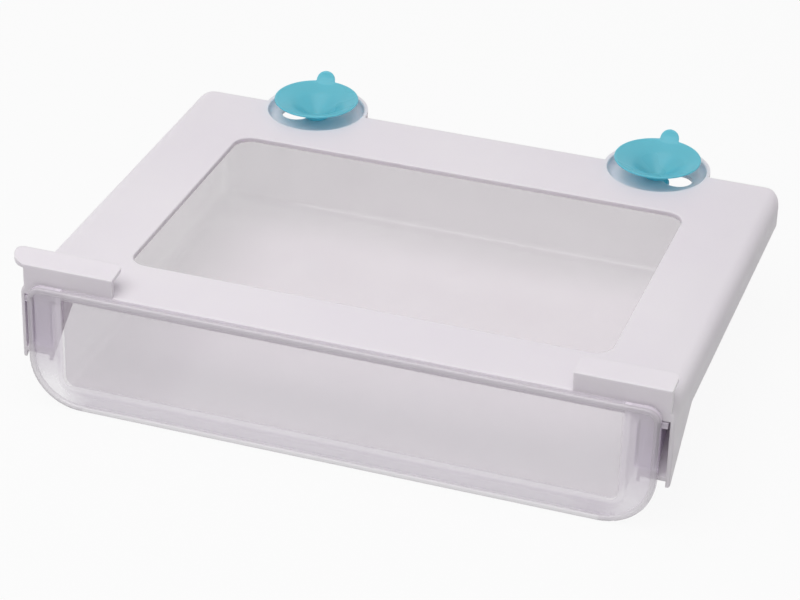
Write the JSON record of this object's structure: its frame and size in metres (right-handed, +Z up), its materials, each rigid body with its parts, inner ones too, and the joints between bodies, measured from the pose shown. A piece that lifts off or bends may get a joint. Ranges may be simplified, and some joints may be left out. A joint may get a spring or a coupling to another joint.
{
  "type": "under-shelf fridge drawer",
  "caption": "Clear drawer that slides out of a white frame hung under a glass shelf by front clips and rear suction cups.",
  "frame": {"origin": "on the plate's top face, against the clip walls, in the middle of the frame's width: where the lower front edge of the shelf sits", "axes": "+X to the right seen from the front, +Y towards the back of the fridge, +Z up; the drawer opens towards -Y"},
  "size_m": [0.3162, 0.2496, 0.073],
  "materials": {
    "white_plastic": "smooth injection-moulded, satin gloss",
    "clear_plastic": "clear moulded plastic, milky where it is thick or doubled",
    "soft_pvc": "soft translucent teal PVC, glossy"
  },
  "bodies": {
    "frame": {"frame": "white_plastic"},
    "drawer": {"drawer": "clear_plastic"},
    "cup_left": {"suction_cup_left": "soft_pvc"},
    "cup_right": {"suction_cup_right": "soft_pvc"}
  },
  "joints": [
    {"name": "drawer_slide", "type": "slide", "parent": "frame", "child": "drawer", "axis": [0, -1, 0], "range_m": [0, 0.16]},
    {"name": "cup_left_slide", "type": "slide", "parent": "frame", "child": "cup_left", "axis": [-1, 0, 0], "range_m": [0, 0.011]},
    {"name": "cup_right_slide", "type": "slide", "parent": "frame", "child": "cup_right", "axis": [1, 0, 0], "range_m": [0, 0.011]}
  ]
}
